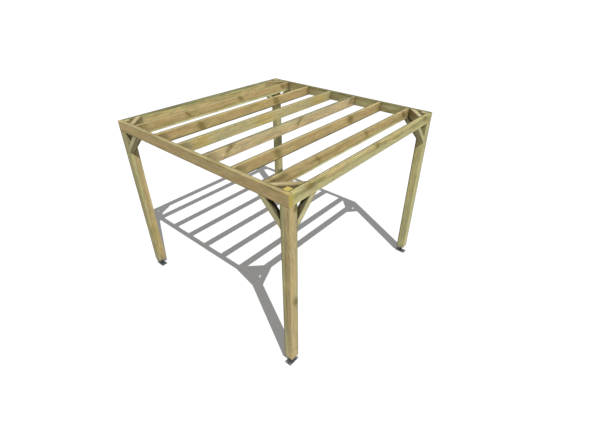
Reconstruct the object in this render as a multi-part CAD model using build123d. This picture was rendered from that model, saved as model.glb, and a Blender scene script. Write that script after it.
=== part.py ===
"""Flat-roofed wooden pergola: four posts, a box of beams, rafters, braces and metal feet.

The origin is on the ground at the middle of the footprint. X runs along the rafters, from the
left beam to the right beam. Y runs from the front beam to the back beam. Z is up.
"""
from build123d import *
import os
from math import sqrt

# Overall sizes, in millimetres
span_x = 3000           # over the outer faces of the left and right beams
span_y = 3000           # over the outer faces of the front and back beams
frame_top = 2438        # top of the beams above the ground
foot_height = 105       # ground to the underside of a post

# Timber
post_width = 118
board_thickness = 51    # beams and rafters
board_height = 136      # beams, rafters and corner braces
rafter_count = 6
arris = 3               # leg of the 45-degree eased edges of every planed timber

# Braces, all at 45 degrees
brace_width = 70        # across the face that shows the 45-degree run
knee_depth = 70         # thickness of a knee brace, inward from the outer faces
knee_gap = 187          # clear leg of the triangle between post, beam and knee brace
corner_gap = 163        # clear leg of the triangle between two beams and a corner brace
rafter_clearance = 6.5  # from the end of a corner brace to the nearest rafter

# Adjustable post feet
base_length = 155
base_width = 90
base_thickness = 6
base_hole = 13          # holes for the ground anchors
base_hole_long = 125    # hole spacing along the plate
base_hole_short = 60    # hole spacing across the plate
socket_diameter = 34
socket_height = 50      # from the top of the base plate
stem_diameter = 24
stem_clearance = 0.5    # all round the stem in its socket
stem_end_gap = 10       # from the base plate up to the lower end of the stem
nut_across_flats = 36
nut_height = 16
cap_size = 80           # square plate under the post
cap_thickness = 6
cap_hole = 9            # holes for the coach screws into the post
cap_hole_spacing = 54

# Levels and places that follow
frame_bottom = frame_top - board_height
post_length = frame_top - foot_height
brace_run = brace_width * sqrt(2)
end_bay = corner_gap + brace_run + rafter_clearance
saw_margin = 2 * brace_width
over = 10               # how far a cutting block reaches past what it cuts

corners = {
    "front_left": (-1, -1),
    "front_right": (1, -1),
    "back_left": (-1, 1),
    "back_right": (1, 1),
}


def planed_section(thickness, height):
    """A rectangle with its four corners eased, centred on the origin."""
    outline = Rectangle(thickness, height)
    return chamfer(outline.vertices(), arris)


def timber(thickness, height, length):
    """A planed timber along +X that starts at the origin, centred on its section."""
    return extrude(Plane.YZ * planed_section(thickness, height), length)


def block(x_size, y_size, z_size):
    """A box with one corner at the origin, on the positive side of each axis."""
    return Pos(x_size / 2, y_size / 2, z_size / 2) * Box(x_size, y_size, z_size)


def turned(shape):
    """The shape with its X and Y exchanged, as for the other beam at a corner."""
    return mirror(shape, about=Plane(origin=(0, 0, 0), z_dir=(1, -1, 0)))


def at_corner(shape, side_x, side_y, inset_x, inset_y, level):
    """Sets a shape that faces inward along +X and +Y at a corner of the frame."""
    if side_x > 0:
        shape = mirror(shape, about=Plane.YZ)
    if side_y > 0:
        shape = mirror(shape, about=Plane.XZ)
    x = side_x * (span_x / 2 - inset_x)
    y = side_y * (span_y / 2 - inset_y)
    return Pos(x, y, level) * shape


def post():
    """A post with its outer corner at the origin and a head rebated for two beams."""
    section = Pos(post_width / 2, post_width / 2) * planed_section(post_width, post_width)
    body = extrude(section, post_length)
    rebate_x = block(board_thickness + over, post_width + 2 * over, board_height + over)
    rebate_y = block(post_width + 2 * over, board_thickness + over, board_height + over)
    rebates = Pos(-over, -over, post_length - board_height)
    return body - rebates * rebate_x - rebates * rebate_y


def diagonal(width, depth, centre_leg):
    """A timber at 45 degrees across the corner of the X and Y axes, sawn flush with both."""
    length = centre_leg * sqrt(2) + 2 * saw_margin
    start = Pos(-saw_margin / sqrt(2), centre_leg + saw_margin / sqrt(2), 0)
    uncut = start * Rot(0, 0, -45) * timber(width, depth, length)
    reach = centre_leg + width + over
    return uncut & (Pos(0, 0, -depth) * block(reach, reach, 2 * depth))


def corner_brace():
    """A level brace between two beams, its top at the origin's level."""
    brace = diagonal(brace_width, board_height, corner_gap + brace_run / 2)
    return Pos(0, 0, -board_height / 2) * brace


def knee_brace():
    """A brace from a post at X = 0 up to the underside of a beam at Z = 0, outer face at Y = 0."""
    brace = diagonal(brace_width, knee_depth, knee_gap + brace_run / 2)
    return Pos(0, knee_depth / 2, 0) * Rot(-90, 0, 0) * brace


def hole_grid(diameter, spacing_x, spacing_y, thickness):
    """Four round plugs to bore a plate with."""
    plugs = Sketch() + GridLocations(spacing_x, spacing_y, 2, 2) * Circle(diameter / 2)
    return extrude(plugs, thickness)


def foot_base():
    """The ground plate, long along X, with the socket welded on its middle."""
    plate = extrude(Rectangle(base_length, base_width), base_thickness)
    holes = hole_grid(base_hole, base_hole_long, base_hole_short, base_thickness)
    bore = stem_diameter / 2 + stem_clearance
    ring = Circle(socket_diameter / 2) - Circle(bore)
    return plate - holes + Pos(0, 0, base_thickness) * extrude(ring, socket_height)


def foot_stem():
    """The threaded stem with its nut on the socket and the cap plate under the post."""
    stem_bottom = base_thickness + stem_end_gap
    nut_bottom = base_thickness + socket_height
    cap_bottom = foot_height - cap_thickness
    rod = Pos(0, 0, stem_bottom) * extrude(Circle(stem_diameter / 2), cap_bottom - stem_bottom)
    hexagon = RegularPolygon(nut_across_flats / 2, 6, major_radius=False)
    nut = Pos(0, 0, nut_bottom) * extrude(hexagon, nut_height)
    cap = extrude(Rectangle(cap_size, cap_size), cap_thickness)
    holes = hole_grid(cap_hole, cap_hole_spacing, cap_hole_spacing, cap_thickness)
    return rod + nut + Pos(0, 0, cap_bottom) * (cap - holes)


def beams():
    """The left and right beams run through, and the front and back beams fit between them."""
    level = frame_top - board_height / 2
    edge_x = span_x / 2 - board_thickness / 2
    edge_y = span_y / 2 - board_thickness / 2
    through = turned(timber(board_thickness, board_height, span_y))
    between = timber(board_thickness, board_height, span_x - 2 * board_thickness)
    return {
        "left_beam": Pos(-edge_x, -span_y / 2, level) * through,
        "right_beam": Pos(edge_x, -span_y / 2, level) * through,
        "front_beam": Pos(board_thickness - span_x / 2, -edge_y, level) * between,
        "back_beam": Pos(board_thickness - span_x / 2, edge_y, level) * between,
    }


def rafters():
    """Evenly spaced rafters between the left and right beams, clear of the corner braces."""
    level = frame_top - board_height / 2
    rafter = timber(board_thickness, board_height, span_x - 2 * board_thickness)
    last = span_y / 2 - board_thickness - end_bay - board_thickness / 2
    spacing = 2 * last / (rafter_count - 1)
    placed = {}
    for index in range(rafter_count):
        place = Pos(board_thickness - span_x / 2, index * spacing - last, level)
        placed[f"rafter_{index + 1}"] = place * rafter
    return placed


def corner_pieces(name, side_x, side_y):
    """The post, braces and foot of one corner of the frame."""
    centre = post_width / 2
    base = foot_base()
    if side_x * side_y < 0:
        base = turned(base)
    along_x = "front" if side_y < 0 else "back"
    along_y = "left" if side_x < 0 else "right"
    knee = knee_brace()
    return {
        f"{name}_post": at_corner(post(), side_x, side_y, 0, 0, foot_height),
        f"{name}_foot_base": at_corner(base, side_x, side_y, centre, centre, 0),
        f"{name}_foot_stem": at_corner(foot_stem(), side_x, side_y, centre, centre, 0),
        f"{name}_corner_brace": at_corner(
            corner_brace(), side_x, side_y, board_thickness, board_thickness, frame_top
        ),
        f"{name}_knee_under_{along_x}_beam": at_corner(
            knee, side_x, side_y, post_width, 0, frame_bottom
        ),
        f"{name}_knee_under_{along_y}_beam": at_corner(
            turned(knee), side_x, side_y, 0, post_width, frame_bottom
        ),
    }


pieces = {}
pieces.update(beams())
pieces.update(rafters())
for corner, (side_x, side_y) in corners.items():
    pieces.update(corner_pieces(corner, side_x, side_y))

os.makedirs("parts", exist_ok=True)
for name, piece in pieces.items():
    export_step(piece, f"parts/{name}.step")
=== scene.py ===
"""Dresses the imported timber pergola: treated pine, galvanised feet, screws and a plain studio.

Laid out as an add-on and run as a script. Every length is in metres, in the frame of the
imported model: +X along the rafters, +Y from the front beam to the back beam, +Z up.
"""

import math
from itertools import starmap
from typing import NamedTuple

import bmesh
import bpy
from bpy.props import FloatProperty, FloatVectorProperty, IntProperty, PointerProperty
from bpy.types import Operator, Panel, PropertyGroup
from mathutils import Euler, Matrix, Vector


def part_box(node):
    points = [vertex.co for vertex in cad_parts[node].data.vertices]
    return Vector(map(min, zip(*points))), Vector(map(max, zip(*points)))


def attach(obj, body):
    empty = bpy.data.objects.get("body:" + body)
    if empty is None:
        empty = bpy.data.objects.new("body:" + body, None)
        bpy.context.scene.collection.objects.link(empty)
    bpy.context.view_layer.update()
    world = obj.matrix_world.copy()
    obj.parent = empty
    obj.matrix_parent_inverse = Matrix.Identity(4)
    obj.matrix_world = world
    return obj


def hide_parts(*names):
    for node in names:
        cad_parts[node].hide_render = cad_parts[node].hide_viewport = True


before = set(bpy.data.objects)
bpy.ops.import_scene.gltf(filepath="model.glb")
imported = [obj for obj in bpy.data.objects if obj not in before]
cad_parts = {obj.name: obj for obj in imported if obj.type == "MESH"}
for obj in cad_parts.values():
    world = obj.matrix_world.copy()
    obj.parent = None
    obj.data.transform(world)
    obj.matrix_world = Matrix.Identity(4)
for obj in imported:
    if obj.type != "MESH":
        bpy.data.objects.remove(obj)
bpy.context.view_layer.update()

bl_info = {
    "name": "Timber Pergola",
    "version": (1, 0, 0),
    "blender": (4, 5, 0),
    "location": "3D View > Sidebar > Pergola",
    "description": "Finishes, fixings and a studio for a flat-roofed timber pergola",
    "category": "Object",
}

MM = 0.001
CORNERS = {
    "front_left": (-1, -1),
    "front_right": (1, -1),
    "back_left": (-1, 1),
    "back_right": (1, 1),
}
SQUARE = ((1, 1), (-1, 1), (-1, -1), (1, -1))  # the corners of a square, in turn
QUARTER = math.radians(90)
EIGHTH = math.radians(45)

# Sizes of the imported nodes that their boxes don't tell
BRACE_WIDTH = 70 * MM
GROUND_PLATE_THICKNESS = 6 * MM
SOCKET_DIAMETER = 34 * MM
STEM_DIAMETER = 24 * MM
NUT_HEIGHT = 16 * MM
NUT_FLATS = 36 * MM
CAP_THICKNESS = 6 * MM
CAP_HOLE = 9 * MM
CAP_HOLE_SPACING = 54 * MM

NO_KNOT = 9.0  # distance from a knot, in knot radii, where the wood is clear
PATCH_EDGE = (1.2, 0.5)  # shares of a patch's size at which it has faded out, and is full
STEEL_SHADE_REACH = 90 * MM  # how far a corner darkens the steel round it, as painted shade
SMOOTH_BELOW = math.radians(35)  # faces that meet at less look like one curved face

# First seeds of the boards' grain; each further board takes the next one
BEAM_SEED = 1
RAFTER_SEED = 11
POST_SEED = 20
BRACE_SEED = 31


def srgb(red, green, blue):
    """Linear values of a colour that is written as screen values from 0 to 255."""
    def linear(value):
        value /= 255
        return value / 12.92 if value <= 0.04045 else ((value + 0.055) / 1.055) ** 2.4
    return (linear(red), linear(green), linear(blue))


# ---------------------------------------------------------------- what a user would change


def color_value(name, description, default):
    """A colour that a user can change."""
    return FloatVectorProperty(
        name=name, description=description, default=default,
        subtype="COLOR", size=3, min=0, max=1,
    )


def length_value(name, description, default):
    """A length that a user can change, in metres."""
    return FloatProperty(name=name, description=description, default=default, unit="LENGTH", min=0)


def angle_value(name, description, degrees):
    """An angle that a user can change."""
    return FloatProperty(
        name=name, description=description, default=math.radians(degrees), subtype="ANGLE",
    )


def share_value(name, description, default):
    """A share from 0 to 1 that a user can change."""
    return FloatProperty(
        name=name, description=description, default=default, subtype="FACTOR", min=0, max=1,
    )


def level_value(name, description, default):
    """A strength of light that a user can change."""
    return FloatProperty(name=name, description=description, default=default, min=0)


class PineFinish(PropertyGroup):
    """Colours and grain of the pressure treated pine."""

    heart_color: color_value("Heartwood", "Tan wood near the pith", srgb(196, 174, 124))
    sap_color: color_value("Sapwood", "Outer wood that takes up the green", srgb(193, 185, 134))
    stain_color: color_value("Stain line", "Green where the sapwood ends", srgb(128, 122, 64))
    pale_color: color_value("Weathered top", "Wood that looks up", srgb(180, 170, 130))
    knot_color: color_value("Knot", "Brown wood of a branch", srgb(126, 108, 54))
    end_color: color_value("End grain", "Sawn ends", srgb(196, 182, 128))
    resin_color: color_value("Fresh end grain", "Ends that stayed yellow", srgb(212, 191, 102))
    algae_color: color_value("Algae", "Green film along shaded edges", srgb(84, 80, 42))
    algae_width: length_value("Algae band", "How wide the film along an edge is", 24 * MM)
    # Painted shade in the joints: its tint, its darker tint on the knee braces, and how far it
    # reaches
    crevice_tint: color_value("Crevice", "Tint of dust in the joints", srgb(165, 162, 158))
    deep_tint: color_value("Deep crevice", "The same on the knee braces", srgb(60, 54, 30))
    crevice_reach: length_value("Crevice reach", "How far a joint darkens the wood", 250 * MM)
    ring_spacing: length_value("Ring spacing", "Distance between two growth rings", 4.2 * MM)
    ring_strength: share_value("Latewood", "How dark the late part of a ring is", 0.5)
    mottle: share_value("Mottle", "How much the wood lightens and darkens along a board", 0.6)
    figure: share_value("Figure", "How strongly the short streaks of the grain show", 0.6)
    warm_spots: share_value("Warm spots", "How much the red of the wood varies", 0.3)
    pale_spots: share_value("Pale spots", "How much the blue of the wood varies", 0.5)
    relief: length_value("Relief", "Height of the grain's relief", 0.5 * MM)


class SteelFinish(PropertyGroup):
    """Look of the galvanised feet and of the screws."""

    zinc_color: color_value("Zinc", "Galvanised steel", srgb(126, 130, 129))
    dull_color: color_value("Dull zinc", "Darker patches of the coating", srgb(86, 90, 90))
    screw_color: color_value("Screw coating", "Tan coat of the timber screws", srgb(150, 136, 92))
    patch_size: length_value("Patch size", "Size of the coating's patches", 9 * MM)


class Fixings(PropertyGroup):
    """Sizes of the screws, threads and welds."""

    screw_head: length_value("Screw head", "Diameter of a timber screw's head", 10 * MM)
    screw_recess: length_value("Drive recess", "Diameter of the six-lobe recess", 5 * MM)
    edge_distance: length_value("Edge distance", "From a board's edge to a screw", 32 * MM)
    brace_end_distance: length_value("Brace end", "From a brace's end to its screws", 48 * MM)
    coach_head: length_value("Coach screw", "Width across flats of a coach screw's head", 13 * MM)
    coach_shank: length_value("Coach screw shank", "Diameter of a coach screw", 8 * MM)
    thread_pitch: length_value("Thread pitch", "Pitch of the foot's stem", 3 * MM)
    thread_depth: length_value("Thread depth", "Depth of the foot's thread", 1.6 * MM)
    weld_size: length_value("Weld", "Leg of a weld bead", 4 * MM)
    facets: IntProperty(name="Facets", description="Facets round a turned part", default=48, min=12)


class Studio(PropertyGroup):
    """Camera, lamps and floor."""

    lens: FloatProperty(name="Lens", description="Focal length", default=22.261, unit="CAMERA")
    camera_place: FloatVectorProperty(
        name="Camera", description="Place of the camera", default=(-3.577, -3.392, 4.081),
        subtype="XYZ", unit="LENGTH",
    )
    camera_turn: angle_value("Azimuth", "Turn of the view from +Y", -49.898)
    camera_tilt: angle_value("Elevation", "How far the view looks down", 33.683)
    camera_roll: angle_value("Roll", "Turn of the picture", 0.068)
    camera_shift: FloatVectorProperty(
        name="Shift", description="Shift of the picture across and up, as a share of its width",
        default=(-0.0019, 0.0061), size=2,
    )
    shadow_lean: FloatVectorProperty(
        name="Shadow lean", description="Shift of a shadow along X and Y for each metre of height",
        default=(0.3258, 0.6363), size=2,
    )
    sun_strength: level_value("Sun", "Strength of the key lamp", 3.06)
    sun_angle: angle_value("Sun size", "Apparent size of the key lamp", 0.3)
    sky_level: level_value("Sky", "Level of the fill light", 0.289)
    sky_color: color_value("Sky colour", "Colour of the fill light", (0.985, 0.985, 1.0))
    floor_bounce: share_value("Bounce", "Share of the light that the floor gives back", 0.22)
    floor_radius: length_value("Floor radius", "How far the floor reaches", 80.0)


# ---------------------------------------------------------------- shader graphs


class Graph:
    """Adds nodes to a tree and joins them; a value may be a number, a colour or a socket."""

    def __init__(self, tree):
        self.tree = tree
        self.tree.nodes.clear()

    def feed(self, socket, value):
        """Joins a socket to an input, or sets the input to a number or a colour."""
        if isinstance(value, bpy.types.NodeSocket):
            self.tree.links.new(value, socket)
        elif socket.type == "RGBA":
            socket.default_value = (*tuple(value)[:3], 1)
        else:
            socket.default_value = value

    def add(self, kind, inputs=None, **settings):
        """A new node with its settings and its inputs."""
        node = self.tree.nodes.new("ShaderNode" + kind)
        for key, value in settings.items():
            setattr(node, key, value)
        for key, value in (inputs or {}).items():
            self.feed(node.inputs[key], value)
        return node

    def show(self, output, shader):
        """Ends the graph with a shader."""
        self.add(output, {"Surface": shader.outputs[0]})

    def math(self, operation, *values):
        inputs = dict(enumerate(values))
        return self.add("Math", inputs, operation=operation).outputs[0]

    def times(self, *factors):
        """The product of two or more numbers."""
        product, *others = factors
        for factor in others:
            product = self.math("MULTIPLY", product, factor)
        return product

    def ramp(self, value, slope, base):
        """The value times the slope, plus the base."""
        return self.math("MULTIPLY_ADD", value, slope, base)

    def vector(self, operation, *values):
        node = self.add("VectorMath", operation=operation)
        for socket, value in zip(node.inputs, values):
            self.feed(socket, value)
        scalar = operation in ("LENGTH", "DOT_PRODUCT")
        return node.outputs["Value" if scalar else "Vector"]

    def parts(self, vector):
        """The X, Y and Z of a vector."""
        return self.add("SeparateXYZ", {0: vector}).outputs

    def scaled(self, vector, factor):
        node = self.add("VectorMath", {"Vector": vector, "Scale": factor}, operation="SCALE")
        return node.outputs["Vector"]

    def step(self, value, low, high):
        """0 at low and 1 at high, with a smooth rise or fall between them."""
        inputs = {"Value": value, "From Min": low, "From Max": high}
        return self.add("MapRange", inputs, interpolation_type="SMOOTHSTEP").outputs["Result"]

    def noise(self, vector, stretch, detail=2.0, roughness=0.5):
        """Noise; the stretch says how many swings a metre has in each direction."""
        inputs = {
            "Vector": self.vector("MULTIPLY", vector, stretch),
            "Scale": 1.0,
            "Detail": detail,
            "Roughness": roughness,
        }
        return self.add("TexNoise", inputs).outputs

    def swing(self, vector, stretch, detail=2.0, roughness=0.5):
        """A noise in each direction that swings round 0."""
        color = self.noise(vector, stretch, detail, roughness)["Color"]
        return self.vector("SUBTRACT", color, (0.5, 0.5, 0.5))

    def mix(self, factor, first, second, blend="MIX"):
        node = self.add("Mix", data_type="RGBA", blend_type=blend)
        self.feed(node.inputs[0], factor)
        self.feed(node.inputs[6], first)
        self.feed(node.inputs[7], second)
        return node.outputs[2]

    def blend(self, factor, first, second):
        """From the first number to the second as the factor goes from 0 to 1."""
        span = self.math("SUBTRACT", second, first)
        return self.ramp(factor, span, first)

    def reach(self, vector, spot):
        """Distance from the middle of a knot or patch, as a share of its size."""
        inputs = {
            "Vector": vector,
            "Location": (spot.along, 0, spot.across),
            "Rotation": (0, spot.slant, 0),
            "Scale": (spot.length, 1, spot.width),
        }
        placed = self.add("Mapping", inputs, vector_type="TEXTURE")
        return self.vector("LENGTH", placed.outputs["Vector"])

    def open_sky(self, distance):
        """1 where nothing stands nearer than the distance, and less in a corner."""
        return self.add("AmbientOcclusion", {"Distance": distance}, samples=8).outputs["AO"]

    def dim(self, color, factor):
        """The colour times a number."""
        grey = self.add("CombineXYZ", dict(enumerate([factor] * 3)))
        return self.vector("MULTIPLY", color, grey.outputs[0])


def new_material(name):
    """An empty material and its graph."""
    material = bpy.data.materials.new(name)
    material.use_nodes = True
    return material, Graph(material.node_tree)


def new_group(name, inputs, outputs):
    """An empty node group with named sockets, its graph and its input node."""
    kinds = {"V": "NodeSocketVector", "F": "NodeSocketFloat", "C": "NodeSocketColor"}
    tree = bpy.data.node_groups.new(name, "ShaderNodeTree")
    graph = Graph(tree)
    for side, sockets in (("INPUT", inputs), ("OUTPUT", outputs)):
        for label, kind in sockets.items():
            tree.interface.new_socket(label, in_out=side, socket_type=kinds[kind])
    given = tree.nodes.new("NodeGroupInput").outputs
    result = tree.nodes.new("NodeGroupOutput").inputs
    return tree, graph, given, result


def pine_group(pine):
    """The node group that turns a place in a board into the look of treated pine.

    Grain place: metres, X along the grain. Knot: distance from the nearest knot in knot radii.
    """
    tree, graph, given, result = new_group(
        "treated_pine",
        {
            "Grain place": "V", "Grain axis": "V", "Half size": "V", "Knot": "F", "Pith": "V",
            "Heart": "F", "Seed": "F", "Tint": "V", "Patches": "C", "Top": "F", "Green": "F",
            "Fresh end": "F", "Algae": "F", "Algae side": "V", "Deep": "F", "Joint shade": "F",
        },
        {"Color": "C", "Roughness": "F", "Normal": "V"},
    )
    place = given["Grain place"]
    knot = given["Knot"]
    shuffled = graph.vector("ADD", place, graph.scaled((7.31, 3.17, 5.73), given["Seed"]))

    # Growth rings round a pith that wanders along the board and swells at each knot
    wander = graph.scaled(graph.swing(shuffled, (0.9, 5, 5)), 34 * MM)
    ripple = graph.noise(shuffled, (7, 40, 40))["Fac"]
    from_pith = graph.vector("SUBTRACT", graph.vector("ADD", place, wander), given["Pith"])
    radius = graph.vector("LENGTH", graph.vector("MULTIPLY", from_pith, (0.004, 1, 1)))
    near_knot = graph.step(knot, 2.6, 0.7)
    radius = graph.ramp(near_knot, 9 * MM, radius)
    radius = graph.ramp(ripple, 2.2 * MM, radius)
    turn = graph.math("FRACT", graph.math("DIVIDE", radius, pine.ring_spacing))
    late = graph.times(graph.step(turn, 0.35, 0.9), graph.step(turn, 1.0, 0.94))

    # Heartwood, sapwood and the stain that gathers between them
    streak = graph.noise(shuffled, (1.6, 55, 55), 3.0, 0.55)["Fac"]
    mottle = graph.noise(shuffled, (6, 24, 24), 2.0, 0.5)["Fac"]
    figure = graph.noise(shuffled, (13, 105, 105), 2.0, 0.5)["Fac"]
    blotch = graph.noise(shuffled, (1.1, 7, 7), 3.0, 0.6)["Fac"]
    border = graph.math("SUBTRACT", radius, given["Heart"])
    border = graph.ramp(graph.math("SUBTRACT", streak, 0.5), 12 * MM, border)
    sap = graph.step(border, -8 * MM, 8 * MM)
    no_heart = graph.step(given["Heart"], 30 * MM, 0.0)
    patchy = graph.math("MAXIMUM", graph.step(blotch, 0.66, 0.42), no_heart)
    sap = graph.times(sap, graph.ramp(patchy, 0.85, 0.15))
    line = graph.step(graph.math("ABSOLUTE", border), 9 * MM, 1 * MM)
    green = given["Green"]
    color = graph.mix(sap, pine.heart_color, pine.sap_color)
    damp = graph.times(graph.step(blotch, 0.5, 0.72), green)
    color = graph.mix(graph.times(damp, 0.5), color, pine.stain_color)
    line = graph.times(line, green, graph.step(blotch, 0.3, 0.6))
    color = graph.mix(graph.times(line, 0.7), color, pine.stain_color)

    # Late wood, streaks and fibres along the grain
    fibre = graph.noise(shuffled, (16, 760, 760), 3.0, 0.6)["Fac"]
    late_dark = graph.mix(1.0, color, (0.78, 0.70, 0.55), "MULTIPLY")
    color = graph.mix(graph.times(late, pine.ring_strength), color, late_dark)
    patterns = ((streak, 0.5), (mottle, pine.mottle), (figure, pine.figure), (fibre, 0.22))
    level = graph.times(*(graph.ramp(shade, share, 1 - share / 2) for shade, share in patterns))

    # Knots: a dark rim, rings inside it and grain that darkens round it
    core = graph.step(knot, 1.3, 0.5)
    halo = graph.step(knot, 2.5, 0.8)
    knot_rings = graph.math("SINE", graph.times(knot, 22.0))
    knot_color = graph.dim(pine.knot_color, graph.ramp(knot_rings, 0.13, 1.0))
    color = graph.mix(graph.times(halo, 0.34), color, pine.knot_color)
    color = graph.mix(graph.times(core, 0.62), color, knot_color)
    rim = graph.step(graph.math("ABSOLUTE", graph.math("SUBTRACT", knot, 1.0)), 0.16, 0.02)
    level = graph.times(level, graph.ramp(rim, -0.14, 1.0))

    # Faces that look up are bleached; then come the board's own tint, its patches and its hue
    facing = graph.add("NewGeometry").outputs["Normal"]
    upward = graph.step(graph.parts(facing)[2], 0.75, 0.95)
    color = graph.mix(graph.times(upward, 0.55), color, pine.pale_color)
    # Painted light and shade: each board's Top level lightens or darkens its upward faces
    color = graph.dim(color, graph.blend(upward, 1.0, given["Top"]))
    hue = graph.swing(shuffled, (14, 34, 34), 3.0, 0.6)
    hue = graph.vector("MULTIPLY_ADD", hue, (pine.warm_spots, 0, pine.pale_spots), (1, 1, 1))
    for tint in (given["Tint"], given["Patches"], hue):
        color = graph.vector("MULTIPLY", color, tint)

    # A film of algae lies along the edges on the shaded side, and on the far end
    band = pine.algae_width
    along = graph.parts(place)[0]
    half = given["Half size"]
    inset = graph.parts(graph.vector("SUBTRACT", graph.vector("ABSOLUTE", place), half))
    share = graph.vector("DIVIDE", place, half)
    lean = graph.vector("DOT_PRODUCT", share, given["Algae side"])
    film = graph.step(graph.math("MINIMUM", inset[1], inset[2]), -band, -0.2 * band)
    film = graph.times(film, graph.step(lean, -0.9, -0.5))
    far_end = graph.times(graph.step(inset[0], -0.5 * band, 0.0), graph.step(along, 0.0, 0.1))
    film = graph.times(graph.math("MAXIMUM", film, far_end), given["Algae"])
    color = graph.mix(film, color, pine.algae_color)

    # Sawn ends: rings in stronger contrast and rays from the pith
    normal = graph.add("TexCoord").outputs["Normal"]
    endwise = graph.math("ABSOLUTE", graph.vector("DOT_PRODUCT", normal, given["Grain axis"]))
    end = graph.step(endwise, 0.8, 0.9)
    _, across, upright = graph.parts(from_pith)
    angle = graph.math("ARCTAN2", across, upright)
    ray_place = graph.add("CombineXYZ", {0: graph.times(angle, 34.0), 1: radius}).outputs[0]
    ray = graph.noise(ray_place, (1, 9, 1), 2.0)["Fac"]
    end_level = graph.times(graph.ramp(late, -0.34, 1.0), graph.ramp(ray, 0.3, 0.85))
    fresh = graph.step(graph.times(along, given["Fresh end"]), 0.0, 0.01)
    end_color = graph.dim(graph.mix(fresh, pine.end_color, pine.resin_color), end_level)
    color = graph.mix(end, graph.dim(color, level), end_color)

    # Drying cracks: thin lines along the grain, only here and there
    seam = graph.noise(shuffled, (0.8, 30, 30), 1.0)["Fac"]
    seam = graph.step(graph.math("ABSOLUTE", graph.math("SUBTRACT", seam, 0.5)), 0.006, 0.002)
    dry = graph.step(graph.noise(shuffled, (1.7, 6, 6), 1.0)["Fac"], 0.6, 0.66)
    crack = graph.times(seam, dry, graph.math("SUBTRACT", 1.0, end))
    color = graph.mix(graph.times(crack, 0.75), color, (0.07, 0.05, 0.02))

    # Painted shade: the wood darkens in the inside corners of the joints, where little open sky
    # reaches it
    nearby = graph.open_sky(pine.crevice_reach)
    deep = given["Deep"]
    crevice_shade = graph.step(nearby, graph.blend(deep, 1.0, 0.87), graph.blend(deep, 0.55, 0.4))
    crevice_shade = graph.times(crevice_shade, given["Joint shade"])
    painted_shade = graph.mix(deep, pine.crevice_tint, pine.deep_tint)
    shaded_color = graph.mix(1.0, color, painted_shade, "MULTIPLY")
    graph.feed(result["Color"], graph.mix(crevice_shade, color, shaded_color))

    # Roughness and relief
    rough = graph.ramp(core, -0.12, graph.ramp(fibre, 0.16, 0.66))
    graph.feed(result["Roughness"], rough)
    height = graph.ramp(fibre, 0.35, graph.times(late, 0.4))
    height = graph.ramp(crack, -1.6, height)
    height = graph.ramp(rim, -0.3, height)
    bump = graph.add("Bump", {"Strength": 0.7, "Distance": pine.relief, "Height": height})
    graph.feed(result["Normal"], bump.outputs["Normal"])
    return tree


class Knot(NamedTuple):
    """A knot that runs through a board from face to face."""

    along: float
    across: float
    length: float = 0.04
    width: float = 0.03
    slant: float = 0.0


class Patch(NamedTuple):
    """A soft patch whose tint multiplies the wood: uneven uptake of the treatment, and on some
    boards painted shade beside joints and painted light on shaded wood.
    """

    along: float
    across: float
    length: float
    width: float
    tint: tuple
    slant: float = 0.0


class Grain(NamedTuple):
    """How one board was sawn from its log; places are from the board's centre, in metres."""

    pith: tuple
    heart: float  # radius of the heartwood
    tint: tuple = (1, 1, 1)
    top: float = 1.0  # painted light and shade on the faces that look up, as a level
    green: float = 0.7  # how much of the treatment's stain shows
    knots: tuple = ()  # rows with the values of a Knot
    patches: tuple = ()  # rows with the values of a Patch
    fresh_end: int = 0  # 1 or -1 for the end along or against the grain's X
    algae: float = 0.0
    algae_side: tuple = (1, 0)
    deep: float = 0.0  # 1 gives the joints the dark painted shade of the knee braces
    # joint_shade: how strongly painted shade darkens the board's joints
    joint_shade: float = 1.0


class Lie(NamedTuple):
    """Where a board lies: its grain runs along X once tilted about Y and turned about Z."""

    centre: Vector
    half: Vector
    tilt: float
    turn: float


def straight_lie(node_name, tilt=0, turn=0):
    """The lie of a board that is square to the frame."""
    low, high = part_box(node_name)
    along = Euler((0, tilt, turn)).to_matrix().transposed() @ (high - low)
    return Lie((low + high) / 2, Vector(map(abs, along)) / 2, tilt, turn)


def braces_at(corner):
    """The braces of a corner; each direction points to the inside corner that the brace spans."""
    side_x, side_y = CORNERS[corner]
    across = "front" if side_y < 0 else "back"
    along = "left" if side_x < 0 else "right"
    return {
        f"{corner}_corner_brace": (side_x, side_y, 0),
        f"{corner}_knee_under_{across}_beam": (side_x, 0, 1),
        f"{corner}_knee_under_{along}_beam": (0, side_y, 1),
    }


def brace_lie(node_name, inner, width):
    """The lie of a brace that spans the corner that a direction points to."""
    low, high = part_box(node_name)
    size = high - low
    run = max(size)
    depth = min(size)
    if inner[2] == 0:
        tilt, turn, half = 0, -inner[0] * inner[1] * EIGHTH, (run, width / 2, depth / 2)
    else:
        tilt = (inner[0] or inner[1]) * EIGHTH
        turn = 0 if inner[0] else QUARTER
        half = (run, depth / 2, width / 2)
    centre = (low + high) / 2 + Vector(inner) * width * math.sqrt(2) / 4
    return Lie(centre, Vector(half), tilt, turn)


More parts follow.
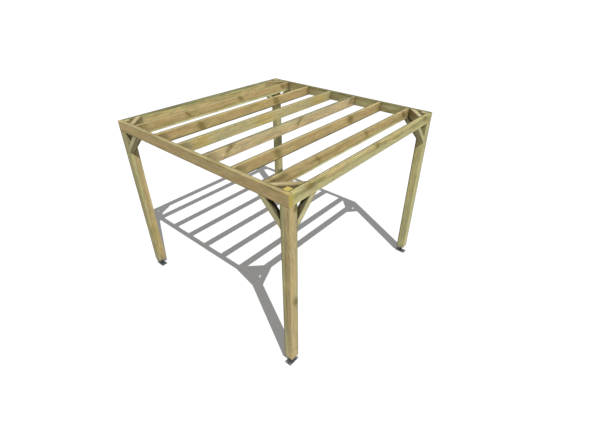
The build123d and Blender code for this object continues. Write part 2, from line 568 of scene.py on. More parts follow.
def pine_material(name, place, grain, seed):
    """Treated pine for one board, with its own knots and patches."""
    lie = Euler((0, place.tilt, place.turn))
    material, graph = new_material(name)
    coordinates = graph.add("TexCoord").outputs["Object"]
    placed = {"Vector": coordinates, "Location": place.centre, "Rotation": lie}
    local = graph.add("Mapping", placed, vector_type="TEXTURE").outputs["Vector"]
    uneven = graph.swing(local, (11, 34, 34), 3.0, 0.6)
    uneven = graph.vector("MULTIPLY", uneven, (0.12, 0, 0.035))
    blurred = graph.vector("ADD", local, uneven)
    nearest = NO_KNOT
    for knot in starmap(Knot, grain.knots):
        nearest = graph.math("MINIMUM", graph.reach(blurred, knot), nearest)
    patches = (1, 1, 1)
    for patch in starmap(Patch, grain.patches):
        inside = graph.step(graph.reach(blurred, patch), *PATCH_EDGE)
        patches = graph.mix(inside, patches, patch.tint, "MULTIPLY")
    pine = graph.add("Group")
    pine.node_tree = bpy.data.node_groups["treated_pine"]
    values = {
        "Grain place": local,
        "Grain axis": lie.to_matrix() @ Vector((1, 0, 0)),
        "Half size": place.half,
        "Knot": nearest,
        "Pith": (0, *grain.pith),
        "Heart": grain.heart,
        "Seed": seed,
        "Tint": grain.tint,
        "Patches": patches,
        "Top": grain.top,
        "Green": grain.green,
        "Fresh end": grain.fresh_end,
        "Algae": grain.algae,
        "Algae side": (0, *grain.algae_side),
        "Deep": grain.deep,
        "Joint shade": grain.joint_shade,
    }
    for label, value in values.items():
        graph.feed(pine.inputs[label], value)
    surface = {
        "Base Color": pine.outputs["Color"],
        "Roughness": pine.outputs["Roughness"],
        "Normal": pine.outputs["Normal"],
        "Specular IOR Level": 0.3,
    }
    graph.show("OutputMaterial", graph.add("BsdfPrincipled", surface))
    return material


def finish_node(node_name, material):
    """Gives a carried-over node its finish."""
    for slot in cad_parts[node_name].material_slots:
        slot.material = material


def finish_board(node_name, place, grain, seed):
    """Gives a board its own treated pine."""
    finish_node(node_name, pine_material(f"pine_{node_name}", place, grain, seed))


def steel_material(name, bright, dull, patch_size, metallic, roughness):
    """Coated steel with soft patches in its colour and gloss, and painted shade that darkens its
    corners.
    """
    material, graph = new_material(name)
    place = graph.add("TexCoord").outputs["Object"]
    cells = graph.add("TexVoronoi", {"Vector": place, "Scale": 1 / patch_size}).outputs["Color"]
    cell = graph.parts(cells)[0]
    cloud = graph.noise(place, (60, 60, 60), 4.0, 0.6)["Fac"]
    fine = graph.noise(place, (900, 900, 900), 2.0)["Fac"]
    blend = graph.ramp(cell, 0.45, graph.step(cloud, 0.35, 0.75))
    color = graph.mix(graph.math("MINIMUM", blend, 1.0), bright, dull)
    # Painted shade: the steel darkens where other parts stand near it
    color = graph.dim(color, graph.math("POWER", graph.open_sky(STEEL_SHADE_REACH), 2.6))
    rough = graph.ramp(cell, 0.14, roughness)
    rough = graph.ramp(fine, 0.08, rough)
    height = graph.ramp(cloud, 0.6, graph.times(fine, 0.4))
    bump = graph.add("Bump", {"Strength": 0.4, "Distance": 0.15 * MM, "Height": height})
    surface = {
        "Base Color": color,
        "Roughness": rough,
        "Normal": bump.outputs["Normal"],
        "Metallic": metallic,
    }
    graph.show("OutputMaterial", graph.add("BsdfPrincipled", surface))
    return material


# ---------------------------------------------------------------- how each board was sawn


def knots_at(places, across, shape):
    """Knots of one shape at several places along a board."""
    return tuple(Knot(along, across, **shape) for along in places)


SMALL_KNOT = {"length": 0.05, "width": 0.022, "slant": 0.75}
WIDE_KNOT = {"length": 0.07, "width": 0.036, "slant": 0.9}
SLIM_KNOT = {"length": 0.07, "width": 0.024, "slant": -0.75}

# Tints of patches; a tint multiplies the wood's colour
DARK_GREEN = (0.68, 0.68, 0.58)
DIM_GREEN = (0.88, 0.9, 0.95)
TAN = (1.05, 0.98, 0.96)
PINK = (1.04, 0.95, 1.0)
YELLOW = (1.02, 0.94, 0.72)
BRIGHT = (1.14, 1.13, 1.1)
DIM = (0.91, 0.92, 0.93)
PALE = (1.5, 1.66, 2.1)
SHADE = (0.82, 0.8, 0.76)

BEAM_GRAIN = {
    "left_beam": Grain(
        (0.07, 0.0), 0.15, (1.13, 1.15, 1.17), top=1.1, green=0.35, fresh_end=-1, algae=0.4,
        algae_side=(-1, -1), joint_shade=0.5,
        patches=(
            (0.0, 0.07, 1.6, 0.02, (0.74, 0.75, 0.68)),
            (-1.25, 0.075, 0.25, 0.02, (0.9, 0.9, 0.87)), (1.3, 0.075, 0.2, 0.02, (0.9, 0.9, 0.88)),
            (-0.15, -0.064, 0.08, 0.014, DARK_GREEN), (1.15, 0.06, 0.4, 0.016, DIM),
            (-0.9, -0.062, 0.5, 0.016, BRIGHT), (-1.35, -0.04, 0.2, 0.035, (1.08, 1.07, 1.1)),
            (-0.4, -0.02, 0.2, 0.026, (1.08, 1.08, 1.07)), (-0.5, 0.066, 0.15, 0.014, SHADE),
            (0.75, 0.066, 0.15, 0.014, SHADE), (-1.1, 0.0, 0.3, 0.03, TAN),
            (0.3, 0.0, 0.35, 0.03, TAN), (-1.44, 0.075, 0.05, 0.012, (1.14, 1.04, 0.8)),
            (-1.3, 0.062, 0.16, 0.014, SHADE),
        ),
    ),
    "right_beam": Grain(
        (-0.08, 0.02), 0.05, (1.04, 1.07, 1.07), top=0.57, green=0.8, algae=1.0, algae_side=(-1, 0),
        joint_shade=0.4,
        knots=((-0.19, 0.02, 0.03, 0.03), (0.78, -0.02, 0.03, 0.025)),
        patches=(
            (0.0, 0.062, 1.6, 0.03, (0.66, 0.68, 0.64)),
            (0.1, 0.0, 0.3, 0.06, (0.86, 0.82, 0.86), 0.5),
            (-0.9, -0.04, 0.2, 0.03, DARK_GREEN, 0.3), (-1.1, -0.02, 0.3, 0.05, (1.1, 1.1, 1.08)),
            (0.0, 0.074, 1.6, 0.012, (1.0, 0.97, 0.88)),
        ),
    ),
    "front_beam": Grain(
        (-0.03, 0.1), 0.0, (1.08, 1.1, 1.09), top=1.02, green=1.0, algae=1.0, joint_shade=0.5,
        knots=(
            (-1.2, 0.04, 0.07, 0.03, 0.4), (0.02, 0.045, 0.04, 0.026, 0.4),
            (1.26, 0.045, 0.05, 0.03, 0.4),
        ),
        patches=(
            (0.0, 0.054, 1.6, 0.026, (1.1, 1.03, 0.97)), (0.0, 0.016, 1.6, 0.014, SHADE),
            (0.0, -0.055, 1.2, 0.02, (1.0, 1.0, 1.1)), (-1.08, 0.045, 0.17, 0.027, DARK_GREEN, 0.1),
            (0.12, 0.05, 0.22, 0.02, DARK_GREEN, 0.1),
            (1.25, 0.038, 0.22, 0.028, (0.78, 0.78, 0.7), 0.1), (-1.28, 0.018, 0.16, 0.022, SHADE),
            (-0.8, 0.026, 0.2, 0.045, (1.08, 0.98, 0.92)),
            (0.42, 0.022, 0.2, 0.05, (1.08, 0.98, 0.92)),
            (0.75, 0.055, 0.6, 0.02, (1.06, 1.08, 1.08)), (-1.3, -0.055, 0.25, 0.022, BRIGHT),
            (1.2, -0.045, 0.35, 0.034, (1.2, 1.2, 1.18)),
            (-1.42, 0.0, 0.04, 0.1, (1.15, 1.12, 0.95)),
            (-1.42, 0.012, 0.05, 0.042, (0.74, 0.76, 0.74)),
            (-1.2, 0.075, 0.35, 0.012, (1.25, 1.25, 1.2)),
            (1.2, 0.075, 0.35, 0.012, (1.28, 1.27, 1.23)),
            (0.08, 0.075, 0.25, 0.012, (1.12, 1.14, 1.2)),
            (-1.42, 0.075, 0.05, 0.012, (0.96, 0.94, 0.86)),
        ),
    ),
    "back_beam": Grain(
        (-0.03, -0.08), 0.105, (1.22, 1.27, 1.26), top=0.47, green=1.0, algae=1.0,
        patches=(
            (0.0, 0.064, 1.6, 0.026, (0.54, 0.59, 0.58)), (0.2, -0.02, 0.9, 0.02, BRIGHT),
            (0.75, -0.05, 0.3, 0.026, (1.14, 1.12, 1.12)), (-0.5, -0.05, 0.2, 0.026, BRIGHT),
            (0.85, 0.05, 0.3, 0.02, (0.86, 0.87, 0.86)),
            (-0.45, 0.05, 0.35, 0.02, (0.9, 0.92, 0.9)),
            (0.0, 0.074, 1.6, 0.012, (1.0, 0.97, 0.88)),
        ),
    ),
}
LEFT_BEAM_SHADE = Patch(-1.365, 0.0, 0.075, 0.12, (0.8, 0.8, 0.78))  # painted shade on the wood by the left beam
EDGE_BAND = Patch(0.0, -0.068, 1.7, 0.026, PALE)  # pale wood along the lower edge
RAFTER_GRAIN = [
    Grain(
        (-0.03, 0.05), 0.077, (1.02, 1.02, 0.97), top=0.97, green=0.9, algae=1.0, joint_shade=0.4,
        knots=knots_at((-0.67, 0.3, 1.27), 0.03, SMALL_KNOT),
        patches=(
            # The rows at -1.26, -1.38 and -1.16 along are painted shade where the front left corner
            # brace meets this rafter
            EDGE_BAND, (-1.26, 0.035, 0.12, 0.035, (0.74, 0.74, 0.7)),
            (-1.38, 0.05, 0.06, 0.034, (0.62, 0.61, 0.54)), (-1.16, -0.004, 0.09, 0.03, SHADE),
            (-0.3, 0.03, 0.22, 0.05, (1.13, 1.1, 1.07)), (0.75, 0.03, 0.25, 0.03, TAN),
            # The row at 1.45 along is painted shade in the corner behind the front right brace
            (0.55, -0.02, 0.3, 0.022, (1.1, 1.12, 1.12)), (1.45, 0.0, 0.04, 0.12, (0.6, 0.6, 0.55)),
            (1.3, 0.075, 0.2, 0.012, (1.22, 1.2, 1.2)),
            (-1.35, 0.075, 0.12, 0.012, (1.2, 1.2, 1.2)),
            (-0.97, -0.055, 0.12, 0.02, (1.15, 1.2, 1.3)), (1.17, -0.02, 0.12, 0.03, BRIGHT),
        ),
    ),
    Grain(
        (-0.07, 0.01), 0.11, (1.0, 1.0, 0.94), top=0.94, algae=1.0, algae_side=(1, -1),
        knots=knots_at((-0.81, 0.64), 0.01, WIDE_KNOT),
        patches=(
            LEFT_BEAM_SHADE, (-1.1, 0.02, 0.18, 0.05, TAN), (-0.2, 0.03, 0.25, 0.04, TAN),
            (0.35, 0.03, 0.2, 0.04, BRIGHT), (1.1, 0.0, 0.2, 0.04, PINK),
            (1.25, 0.075, 0.22, 0.014, (1.3, 1.26, 1.2)),
            (-0.87, -0.055, 0.25, 0.02, (1.16, 1.18, 1.16)),
            (-0.82, -0.054, 0.06, 0.02, (1.55, 1.55, 1.45)),
        ),
    ),
    Grain(
        (-0.09, -0.02), 0.13, (1.17, 1.23, 1.4), top=0.57, green=0.4, algae=1.0,
        knots=knots_at((-1.11, 0.12, 1.34), 0.038, SLIM_KNOT),
        patches=(
            (-0.15, 0.03, 0.18, 0.05, BRIGHT), (1.05, 0.03, 0.22, 0.05, (1.2, 1.2, 1.2)),
            (0.1, 0.05, 1.0, 0.03, (1.03, 1.09, 1.1)), (0.02, -0.02, 0.3, 0.03, BRIGHT),
            (-1.1, -0.02, 0.2, 0.026, BRIGHT), (0.9, -0.055, 0.5, 0.022, (0.87, 0.88, 0.9)),
            (0.0, -0.064, 1.5, 0.014, (0.87, 0.86, 0.86)),
            (-0.5, -0.02, 0.2, 0.03, (0.93, 0.92, 0.92)),
            (-1.19, 0.0, 0.06, 0.03, (1.25, 1.25, 1.28)),
            (-1.045, 0.064, 0.07, 0.022, (0.72, 0.7, 0.66)), LEFT_BEAM_SHADE,
        ),
    ),
    Grain(
        (-0.05, 0.1), 0.0, (1.12, 1.08, 1.09), top=0.88, green=0.4, algae=1.0,
        patches=(
            LEFT_BEAM_SHADE, (-1.15, 0.0, 0.14, 0.09, YELLOW), (-0.08, 0.0, 0.22, 0.09, YELLOW),
            (1.12, 0.0, 0.18, 0.09, YELLOW), (-0.85, -0.03, 0.12, 0.05, DIM_GREEN),
            (-0.2, -0.055, 0.3, 0.02, DIM), (0.0, 0.058, 0.32, 0.02, DIM),
            (-0.75, 0.03, 0.2, 0.05, (1.07, 1.06, 1.06)),
            (0.6, 0.01, 0.22, 0.06, (1.06, 1.05, 1.05)),
        ),
    ),
    Grain(
        (-0.07, 0.0), 0.11, (1.0, 1.0, 0.93), top=0.94, algae=1.0, algae_side=(1, -1),
        knots=knots_at((-0.8, 0.64), 0.005, WIDE_KNOT),
        patches=(
            LEFT_BEAM_SHADE, (-1.1, 0.02, 0.18, 0.05, TAN), (-0.2, 0.03, 0.25, 0.04, TAN),
            (0.3, 0.02, 0.3, 0.05, (1.25, 1.22, 1.15)), (1.1, 0.0, 0.2, 0.04, PINK),
            (0.95, 0.075, 0.5, 0.014, (1.3, 1.26, 1.2)),
            (0.6, -0.055, 0.2, 0.022, (1.2, 1.22, 1.2)), (0.0, -0.055, 0.2, 0.02, DIM),
        ),
    ),
    Grain(
        (-0.03, 0.05), 0.077, (1.03, 1.03, 0.97), top=1.02, green=0.9, algae=1.0,
        knots=knots_at((-0.67, 0.31, 1.28), 0.03, SMALL_KNOT),
        patches=(
            LEFT_BEAM_SHADE, EDGE_BAND, (-1.05, 0.02, 0.2, 0.04, TAN), (0.75, 0.03, 0.25, 0.03, TAN),
            (-0.2, -0.01, 0.6, 0.03, (1.08, 1.08, 1.06)),
            (0.2, -0.055, 0.12, 0.02, (0.85, 0.86, 0.86)), (1.15, -0.055, 0.2, 0.02, BRIGHT),
        ),
    ),
]
RAFTERS = [f"rafter_{number}" for number in range(1, len(RAFTER_GRAIN) + 1)]
POST_GRAIN = {
    "front_left": Grain(
        (-0.045, 0.02), 0.06, (1.13, 1.17, 1.25), green=1.0, fresh_end=1, algae=0.6,
        algae_side=(1, -1), joint_shade=0.5,
        knots=((-0.215, -0.028, 0.042, 0.034, -0.1), (0.985, -0.026, 0.03, 0.024, -0.3)),
        patches=(
            (0.2, -0.05, 0.5, 0.02, BRIGHT), (0.1, -0.02, 0.3, 0.02, BRIGHT),
            (-0.11, -0.035, 0.14, 0.035, (1.1, 1.14, 1.2)),
            (-0.215, -0.032, 0.036, 0.03, DARK_GREEN), (0.08, 0.03, 0.25, 0.04, BRIGHT),
            (0.82, -0.045, 0.16, 0.024, BRIGHT), (-0.68, 0.03, 0.14, 0.04, DIM_GREEN),
            (-1.12, 0.0, 0.1, 0.1, (1.2, 1.2, 1.25)),
            # The row at 1.0 along is painted shade below the front beam
            (1.0, -0.035, 0.06, 0.034, (0.76, 0.77, 0.78)),
            (0.88, 0.03, 0.18, 0.03, (1.08, 1.07, 1.05)),
        ),
    ),
    "front_right": Grain(
        (0.0, 0.0), 0.0, (1.11, 1.15, 1.19), green=0.7, algae=0.8, algae_side=(1, -1),
        joint_shade=0.5,
        patches=(
            (0.25, 0.06, 0.75, 0.02, (1.22, 1.18, 1.1)), (-1.05, 0.0, 0.2, 0.1, (1.1, 1.09, 1.08)),
            (0.0, -0.055, 1.3, 0.016, (0.93, 0.92, 0.88)),
        ),
    ),
    "back_left": Grain(
        (-0.05, -0.03), 0.055, (1.04, 1.06, 1.08), green=1.0, algae=1.0, algae_side=(1, 0),
        joint_shade=0.5,
        patches=(
            (0.0, -0.05, 1.3, 0.03, (1.2, 1.24, 1.3)), (-0.6, 0.01, 0.45, 0.05, (1.2, 1.2, 1.16)),
        ),
    ),
    "back_right": Grain(
        (0.02, 0.03), 0.0, green=0.6, algae=0.6, algae_side=(1, -1), joint_shade=0.4,
        # Painted light: the top of this post is lightened where it lies in the shade of the braces
        patches=((0.9, 0.0, 0.4, 0.12, (1.6, 1.55, 1.4)),),
    ),
}
KNEE_GRAIN = Grain(
    (0.02, 0.09), 0.0, (1.25, 1.27, 1.42), green=0.5, algae=0.35, algae_side=(0, 0), deep=1.0,
)
CORNER_BRACE_GRAIN = Grain(
    (0.02, 0.09), 0.08, green=0.5, algae=0.4, algae_side=(0, 0), joint_shade=0.8,
)
CORNER_BRACE_GRAINS = {
    "front_left": CORNER_BRACE_GRAIN._replace(
        # A band of painted shade across this brace
        patches=((0.17, 0.0, 0.13, 0.3, (0.68, 0.7, 0.62)),),
    ),
    "front_right": CORNER_BRACE_GRAIN._replace(tint=(1.08, 1.11, 1.2), joint_shade=0.55),
}


# ---------------------------------------------------------------- mesh code


def turns(count):
    """Angles at equal steps round a circle."""
    return [2 * math.pi * k / count for k in range(count)]


def outline(reach, level):
    """Points round the Z axis at given distances; a list of levels gives each point its own."""
    levels = level if isinstance(level, list) else [level] * len(reach)
    return [
        Vector((distance * math.cos(turn), distance * math.sin(turn), height))
        for distance, turn, height in zip(reach, turns(len(reach)), levels)
    ]


def ring(radius, level, facets):
    """Points of a level circle."""
    return outline([radius] * facets, level)


def hexagon(across_flats, facets):
    """Distance from the centre to a hexagon's outline in each direction of a ring."""
    sixth = math.pi / 3
    return [across_flats / 2 / math.cos(turn % sixth - sixth / 2) for turn in turns(facets)]


def six_lobes(diameter, facets):
    """Distance from the centre to the outline of a six-lobe drive recess."""
    return [diameter / 2 * (0.86 + 0.14 * math.cos(6 * turn)) for turn in turns(facets)]


def skin(mesh, rings, place, hollow=False):
    """Joins rings of points into a closed surface; hollow joins the last ring to the first."""
    rows = [[mesh.verts.new(place @ point) for point in points] for points in rings]
    pairs = list(zip(rows, rows[1:]))
    if hollow:
        pairs.append((rows[-1], rows[0]))
    for low, high in pairs:
        count = len(low)
        for k in range(count):
            following = (k + 1) % count
            mesh.faces.new((low[k], low[following], high[following], high[k]))
    if not hollow:
        mesh.faces.new(list(reversed(rows[0])))
        mesh.faces.new(rows[-1])


def threaded_rod(mesh, diameter, pitch, depth, bottom, top, facets, place):
    """A rod with a V thread cut all the way round it."""
    rows_per_turn = 6
    rows = max(2, round((top - bottom) / pitch * rows_per_turn))
    rings = []
    for row in range(rows + 1):
        rise = (top - bottom) * row / rows
        phases = ((rise / pitch - k / facets) % 1 for k in range(facets))
        reach = [diameter / 2 - depth * abs(2 * phase - 1) for phase in phases]
        rings.append(outline(reach, bottom + rise))
    skin(mesh, rings, place)


def hex_nut(mesh, across_flats, bottom, top, bore, facets, place):
    """A nut with both ends chamfered at 30 degrees; without a bore it is a solid head."""
    end_face = across_flats / 2 * 0.97
    reach = hexagon(across_flats, facets)
    drop = [(distance - end_face) * math.tan(math.radians(30)) for distance in reach]
    outer = [
        ring(end_face, bottom, facets),
        outline(reach, [bottom + d for d in drop]),
        outline(reach, [top - d for d in drop]),
        ring(end_face, top, facets),
    ]
    inner = [ring(bore / 2, top, facets), ring(bore / 2, bottom, facets)] if bore else []
    skin(mesh, outer + inner, place, hollow=bool(bore))


def weld_bead(mesh, radius, level, size, rise, place):
    """A rippled fillet weld round a turned part that stands on a plate, or hangs from one."""
    inner = radius - 0.4 * MM
    ripples = 30
    section = [(0, 0), (1, 0), (0.8, 0.35), (0.35, 0.8), (0, 1)]
    swell = [
        size * (1 + 0.09 * math.cos(ripples * turn) + 0.05 * math.sin(3 * turn + 0.7))
        for turn in turns(120)
    ]
    rings = [
        outline([inner + out * leg for leg in swell], [level + rise * up * leg for leg in swell])
        for out, up in section
    ]
    skin(mesh, rings, place, hollow=True)


def plate_with_holes(mesh, size, bottom, top, hole_diameter, hole_spacing, place):
    """A square plate with eased edges and four round holes."""
    facets = 24
    ease = 0.6 * MM
    work = bmesh.new()
    outlines = [[Vector((x * size / 2, y * size / 2, bottom)) for x, y in SQUARE]]
    for x, y in SQUARE:
        centre = Vector((x * hole_spacing / 2, y * hole_spacing / 2, bottom))
        outlines.append([centre + point for point in ring(hole_diameter / 2, 0, facets)])
    edges = []
    for points in outlines:
        loop = [work.verts.new(point) for point in points]
        edges += [work.edges.new(pair) for pair in zip(loop, loop[1:] + loop[:1])]
    bmesh.ops.triangle_fill(work, use_beauty=True, use_dissolve=False, edges=edges)
    raised = bmesh.ops.extrude_face_region(work, geom=list(work.faces))
    top_verts = [v for v in raised["geom"] if isinstance(v, bmesh.types.BMVert)]
    bmesh.ops.translate(work, vec=(0, 0, top - bottom), verts=top_verts)
    bmesh.ops.recalc_face_normals(work, faces=work.faces)
    sharp = [e for e in work.edges if len(e.link_faces) == 2 and e.calc_face_angle() > EIGHTH]
    bmesh.ops.bevel(work, geom=sharp, offset=ease, segments=2, affect="EDGES", profile=0.5)
    work.transform(place)
    copied = {v: mesh.verts.new(v.co) for v in work.verts}
    for face in work.faces:
        mesh.faces.new([copied[v] for v in face.verts])
    work.free()


def finish_mesh(name, mesh, material):
    """Turns the worked mesh into an object of the pergola."""
    bmesh.ops.recalc_face_normals(mesh, faces=mesh.faces)
    data = bpy.data.meshes.new(name)
    mesh.to_mesh(data)
    mesh.free()
    data.materials.append(material)
    data.shade_smooth()
    data.set_sharp_from_angle(angle=SMOOTH_BELOW)
    piece = bpy.data.objects.new(name, data)
    bpy.context.scene.collection.objects.link(piece)
    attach(piece, "root")
    return piece


def looking(direction, spot):
    """A place whose Z axis points in a direction, at a spot."""
    turn = Vector(direction).to_track_quat("Z", "Y").to_matrix().to_4x4()
    return Matrix.Translation(spot) @ turn


def timber_screw(mesh, spot, outward, fixings):
    """The visible end of a countersunk timber screw: a flat head with a six-lobe recess."""
    facets = 36
    radius = fixings.screw_head / 2
    shank = 0.45 * radius
    proud = 0.15 * MM
    recess = six_lobes(fixings.screw_recess, facets)
    recess_floor = [0.8 * distance for distance in recess]
    rings = [
        ring(shank, -4 * MM, facets),
        ring(radius, -0.4 * MM, facets),
        ring(radius, proud - 0.1 * MM, facets),
        ring(radius - 0.2 * MM, proud, facets),
        outline(recess, proud),
        outline(recess_floor, proud - 2.2 * MM),
    ]
    skin(mesh, rings, looking(outward, spot))


def coach_screw(mesh, spot, up, fixings):
    """A hexagon head with its washer, under a cap plate; its shank goes up through the hole."""
    washer = 1.6 * MM
    head = 5.5 * MM
    inner = fixings.coach_shank / 2
    outer = fixings.coach_head * 0.62
    place = Matrix.Translation(spot)
    facets = fixings.facets
    section = ((inner, -washer), (outer, -washer), (outer, 0), (inner, 0))
    skin(mesh, [ring(radius, level, facets) for radius, level in section], place, hollow=True)
    hex_nut(mesh, fixings.coach_head, -washer - head, -washer, 0, facets, place)
    skin(mesh, [ring(inner, level, facets) for level in (-washer, up)], place)


# ---------------------------------------------------------------- operators


class PERGOLA_OT_prepare_finishes(Operator):
    """Make the treated pine group and the steel finishes"""

    bl_idname = "pergola.prepare_finishes"
    bl_label = "Prepare finishes"

    def execute(self, context):
        scene = context.scene
        pine_group(scene.pergola_pine)
        steel = scene.pergola_steel
        steel_material(
            "galvanised_steel", steel.zinc_color, steel.dull_color, steel.patch_size,
            metallic=0.5, roughness=0.42,
        )
        steel_material(
            "screw_coating", steel.screw_color, steel.screw_color, steel.patch_size,
            metallic=0.3, roughness=0.5,
        )
        return {"FINISHED"}


class PERGOLA_OT_finish_beams(Operator):
    """Give the four beams their grain"""

    bl_idname = "pergola.finish_beams"
    bl_label = "Finish beams"

    def execute(self, context):
        for seed, (name, grain) in enumerate(BEAM_GRAIN.items(), BEAM_SEED):
            turn = QUARTER if name in ("left_beam", "right_beam") else 0
            finish_board(name, straight_lie(name, turn=turn), grain, seed)
        return {"FINISHED"}


class PERGOLA_OT_finish_rafters(Operator):
    """Give the rafters their grain"""

    bl_idname = "pergola.finish_rafters"
    bl_label = "Finish rafters"

    def execute(self, context):
        for seed, (name, grain) in enumerate(zip(RAFTERS, RAFTER_GRAIN), RAFTER_SEED):
            finish_board(name, straight_lie(name), grain, seed)
        return {"FINISHED"}


class PERGOLA_OT_finish_posts(Operator):
    """Give the posts their grain"""

    bl_idname = "pergola.finish_posts"
    bl_label = "Finish posts"

    def execute(self, context):
        for seed, (corner, grain) in enumerate(POST_GRAIN.items(), POST_SEED):
            name = f"{corner}_post"
            finish_board(name, straight_lie(name, tilt=-QUARTER), grain, seed)
        return {"FINISHED"}


class PERGOLA_OT_finish_braces(Operator):
    """Give the knee braces and the corner braces their grain"""

    bl_idname = "pergola.finish_braces"
    bl_label = "Finish braces"

    def execute(self, context):
        seed = BRACE_SEED
        for corner in CORNERS:
            level_grain = CORNER_BRACE_GRAINS.get(corner, CORNER_BRACE_GRAIN)
            for name, inner in braces_at(corner).items():
                grain = KNEE_GRAIN if inner[2] else level_grain
                finish_board(name, brace_lie(name, inner, BRACE_WIDTH), grain, seed)
                seed += 1
        return {"FINISHED"}


class PERGOLA_OT_build_feet(Operator):
    """Build the threaded stems with nut, cap plate and coach screws, and weld the sockets"""

    bl_idname = "pergola.build_feet"
    bl_label = "Build feet"

    def execute(self, context):
        fixings = context.scene.pergola_fixings
        steel = bpy.data.materials["galvanised_steel"]
        for corner in CORNERS:
            self.build_foot(corner, fixings, steel)
        return {"FINISHED"}

    def build_foot(self, corner, fixings, steel):
        base_node = f"{corner}_foot_base"
        stem_node = f"{corner}_foot_stem"
        finish_node(base_node, steel)
        low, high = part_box(stem_node)
        socket_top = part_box(base_node)[1].z
        centre = (low + high) / 2
        place = Matrix.Translation((centre.x, centre.y, 0))
        cap_bottom = high.z - CAP_THICKNESS
        rod_end = cap_bottom + 0.5 * MM
        nut_bore = STEM_DIAMETER - 3 * MM
        bead_radius = STEM_DIAMETER / 2 - 1 * MM
        mesh = bmesh.new()
        threaded_rod(
            mesh, STEM_DIAMETER, fixings.thread_pitch, fixings.thread_depth,
            low.z, rod_end, fixings.facets, place,
        )
        hex_nut(mesh, NUT_FLATS, socket_top, socket_top + NUT_HEIGHT, nut_bore, 72, place)
        plate_with_holes(
            mesh, high.x - low.x, cap_bottom, high.z, CAP_HOLE, CAP_HOLE_SPACING, place,
        )
        weld_bead(mesh, bead_radius, cap_bottom, fixings.weld_size, -1, place)
        stem = finish_mesh(f"{corner}_threaded_stem", mesh, steel)
        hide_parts(stem_node)

        socket = bmesh.new()
        weld_bead(
            socket, SOCKET_DIAMETER / 2, GROUND_PLATE_THICKNESS, fixings.weld_size, 1, place,
        )
        finish_mesh(f"{corner}_socket_weld", socket, steel)

        screws = bmesh.new()
        for side_x, side_y in SQUARE:
            offset = Vector((side_x, side_y, 0)) * CAP_HOLE_SPACING / 2
            spot = Vector((centre.x, centre.y, cap_bottom)) + offset
            coach_screw(screws, spot, CAP_THICKNESS, fixings)
        finish_mesh(f"{corner}_coach_screws", screws, steel)


class PERGOLA_OT_drive_beam_screws(Operator):
    """Drive the screws that hold rafters and beams through the outer faces of the beams"""

    bl_idname = "pergola.drive_beam_screws"
    bl_label = "Drive beam screws"

    def execute(self, context):
        fixings = context.scene.pergola_fixings
        coating = bpy.data.materials["screw_coating"]
        edge = fixings.edge_distance
        crossing = [*RAFTERS, "front_beam", "back_beam"]
        held = {
            "left_beam": (0, -1, [*crossing, "front_left_post", "back_left_post"]),
            "right_beam": (0, 1, [*crossing, "front_right_post", "back_right_post"]),
            "front_beam": (1, -1, ["front_left_post", "front_right_post"]),
            "back_beam": (1, 1, ["back_left_post", "back_right_post"]),
        }
        for beam, (axis, side, pieces) in held.items():
            mesh = bmesh.new()
            low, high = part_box(beam)
            face = (high if side > 0 else low)[axis]
            outward = Vector((0, 0, 0))
            outward[axis] = side
            for piece in pieces:
                piece_low, piece_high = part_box(piece)
                centre = (piece_low + piece_high) / 2
                for level in (low.z + edge, high.z - edge):
                    spot = Vector((centre.x, centre.y, level))
                    spot[axis] = face
                    timber_screw(mesh, spot, outward, fixings)
            finish_mesh(f"{beam}_screws", mesh, coating)
        return {"FINISHED"}


class PERGOLA_OT_drive_brace_screws(Operator):
    """Drive four screws through the long face of each brace, two near either end"""

    bl_idname = "pergola.drive_brace_screws"
    bl_label = "Drive brace screws"

    def execute(self, context):
        fixings = context.scene.pergola_fixings
        coating = bpy.data.materials["screw_coating"]
        for corner in CORNERS:
            mesh = bmesh.new()
            for name, inner in braces_at(corner).items():
                self.screw_down(mesh, name, Vector(inner), fixings)
            finish_mesh(f"{corner}_brace_screws", mesh, coating)
        return {"FINISHED"}

    def screw_down(self, mesh, name, inner, fixings):
        low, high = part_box(name)
        spanned = [axis for axis in range(3) if inner[axis]]
        flat = next(axis for axis in range(3) if not inner[axis])
        middle = (low + high) / 2
        run = (high - low)[spanned[0]]
        along = Vector((0, 0, 0))
        along[spanned[0]] = inner[spanned[0]]
        along[spanned[1]] = -inner[spanned[1]]
        along *= run / 2 - fixings.brace_end_distance
        across = Vector((0, 0, 0))
        across[flat] = (high - low)[flat] / 4
        for end, side in SQUARE:
            timber_screw(mesh, middle + along * end + across * side, -inner, fixings)


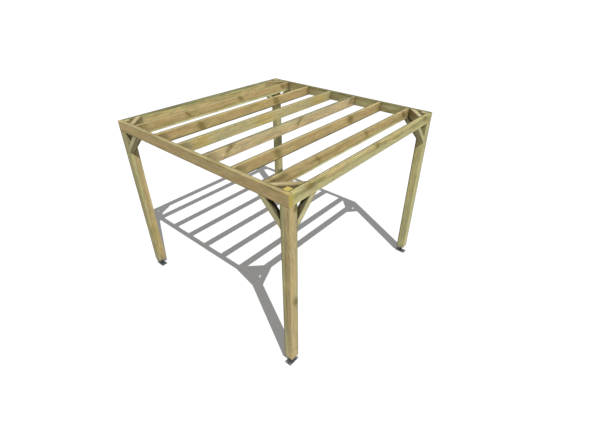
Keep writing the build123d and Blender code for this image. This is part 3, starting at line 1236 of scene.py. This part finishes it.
class PERGOLA_OT_set_stage(Operator):
    """Set the floor, the sky, the key lamp and the camera"""

    bl_idname = "pergola.set_stage"
    bl_label = "Set stage"

    def execute(self, context):
        studio = context.scene.pergola_studio
        self.lay_floor(studio)
        self.light(context.scene, studio)
        self.place_camera(context.scene, studio)
        context.scene.view_settings.view_transform = "Standard"
        return {"FINISHED"}

    def white_to_the_eye(self, graph, output, lighting, white):
        """One shader for the light; the white one for rays of the camera, of gloss and of glass."""
        path = graph.add("LightPath").outputs
        seen = graph.math("MAXIMUM", path["Is Camera Ray"], path["Is Glossy Ray"])
        seen = graph.math("MAXIMUM", seen, path["Is Transmission Ray"])
        shaders = {0: seen, 1: lighting.outputs[0], 2: white.outputs[0]}
        graph.show(output, graph.add("MixShader", shaders))

    def lay_floor(self, studio):
        mesh = bmesh.new()
        bmesh.ops.create_circle(mesh, cap_ends=True, segments=96, radius=studio.floor_radius)
        data = bpy.data.meshes.new("floor")
        mesh.to_mesh(data)
        mesh.free()
        material, graph = new_material("floor")
        dim = graph.add("BsdfDiffuse", {"Color": [studio.floor_bounce] * 3})
        white = graph.add("BsdfDiffuse", {"Color": (1, 1, 1)})
        self.white_to_the_eye(graph, "OutputMaterial", dim, white)
        data.materials.append(material)
        floor = bpy.data.objects.new("floor", data)
        bpy.context.scene.collection.objects.link(floor)

    def light(self, scene, studio):
        world = bpy.data.worlds.new("sky")
        world.use_nodes = True
        graph = Graph(world.node_tree)
        sky = graph.add("Background", {"Color": studio.sky_color, "Strength": studio.sky_level})
        white = graph.add("Background", {"Color": (1, 1, 1), "Strength": 1.0})
        self.white_to_the_eye(graph, "OutputWorld", sky, white)
        scene.world = world
        lamp = bpy.data.lights.new("key", "SUN")
        lamp.energy = studio.sun_strength
        lamp.angle = studio.sun_angle
        key = bpy.data.objects.new("key", lamp)
        travel = Vector((*studio.shadow_lean, -1))
        key.rotation_euler = travel.to_track_quat("-Z", "Y").to_euler()
        scene.collection.objects.link(key)

    def place_camera(self, scene, studio):
        data = bpy.data.cameras.new("camera")
        data.lens = studio.lens
        data.shift_x, data.shift_y = studio.camera_shift
        camera = bpy.data.objects.new("camera", data)
        turn, tilt = studio.camera_turn, studio.camera_tilt
        right = Vector((math.cos(turn), math.sin(turn), 0))
        level_back = Vector((math.sin(turn), -math.cos(turn), 0))
        back = level_back * math.cos(tilt) + Vector((0, 0, math.sin(tilt)))
        axes = Matrix((right, back.cross(right), back)).transposed()
        roll = Matrix.Rotation(studio.camera_roll, 3, "Z")
        camera.matrix_world = Matrix.Translation(studio.camera_place) @ (axes @ roll).to_4x4()
        scene.collection.objects.link(camera)
        scene.camera = camera


class PERGOLA_PT_sidebar(Panel):
    """Lists the steps that dress the pergola"""

    bl_idname = "PERGOLA_PT_sidebar"
    bl_label = "Pergola"
    bl_space_type = "VIEW_3D"
    bl_region_type = "UI"
    bl_category = "Pergola"

    def draw(self, context):
        for step in STEPS:
            self.layout.operator(step.bl_idname)
        for group in SETTINGS:
            box = self.layout.box()
            settings = getattr(context.scene, group)
            for key in settings.bl_rna.properties.keys():
                if key not in ("rna_type", "name"):
                    box.prop(settings, key)


SETTINGS = {
    "pergola_pine": PineFinish,
    "pergola_steel": SteelFinish,
    "pergola_fixings": Fixings,
    "pergola_studio": Studio,
}
STEPS = (
    PERGOLA_OT_prepare_finishes,
    PERGOLA_OT_finish_beams,
    PERGOLA_OT_finish_rafters,
    PERGOLA_OT_finish_posts,
    PERGOLA_OT_finish_braces,
    PERGOLA_OT_build_feet,
    PERGOLA_OT_drive_beam_screws,
    PERGOLA_OT_drive_brace_screws,
    PERGOLA_OT_set_stage,
)


def register():
    for group in SETTINGS.values():
        bpy.utils.register_class(group)
    for kind in (*STEPS, PERGOLA_PT_sidebar):
        bpy.utils.register_class(kind)
    for name, group in SETTINGS.items():
        setattr(bpy.types.Scene, name, PointerProperty(type=group))


def unregister():
    for name in SETTINGS:
        delattr(bpy.types.Scene, name)
    for kind in (PERGOLA_PT_sidebar, *reversed(STEPS)):
        bpy.utils.unregister_class(kind)
    for group in reversed(SETTINGS.values()):
        bpy.utils.unregister_class(group)


def main():
    register()
    for step in STEPS:
        family, name = step.bl_idname.split(".")
        getattr(getattr(bpy.ops, family), name)()


if __name__ == "__main__":
    main()
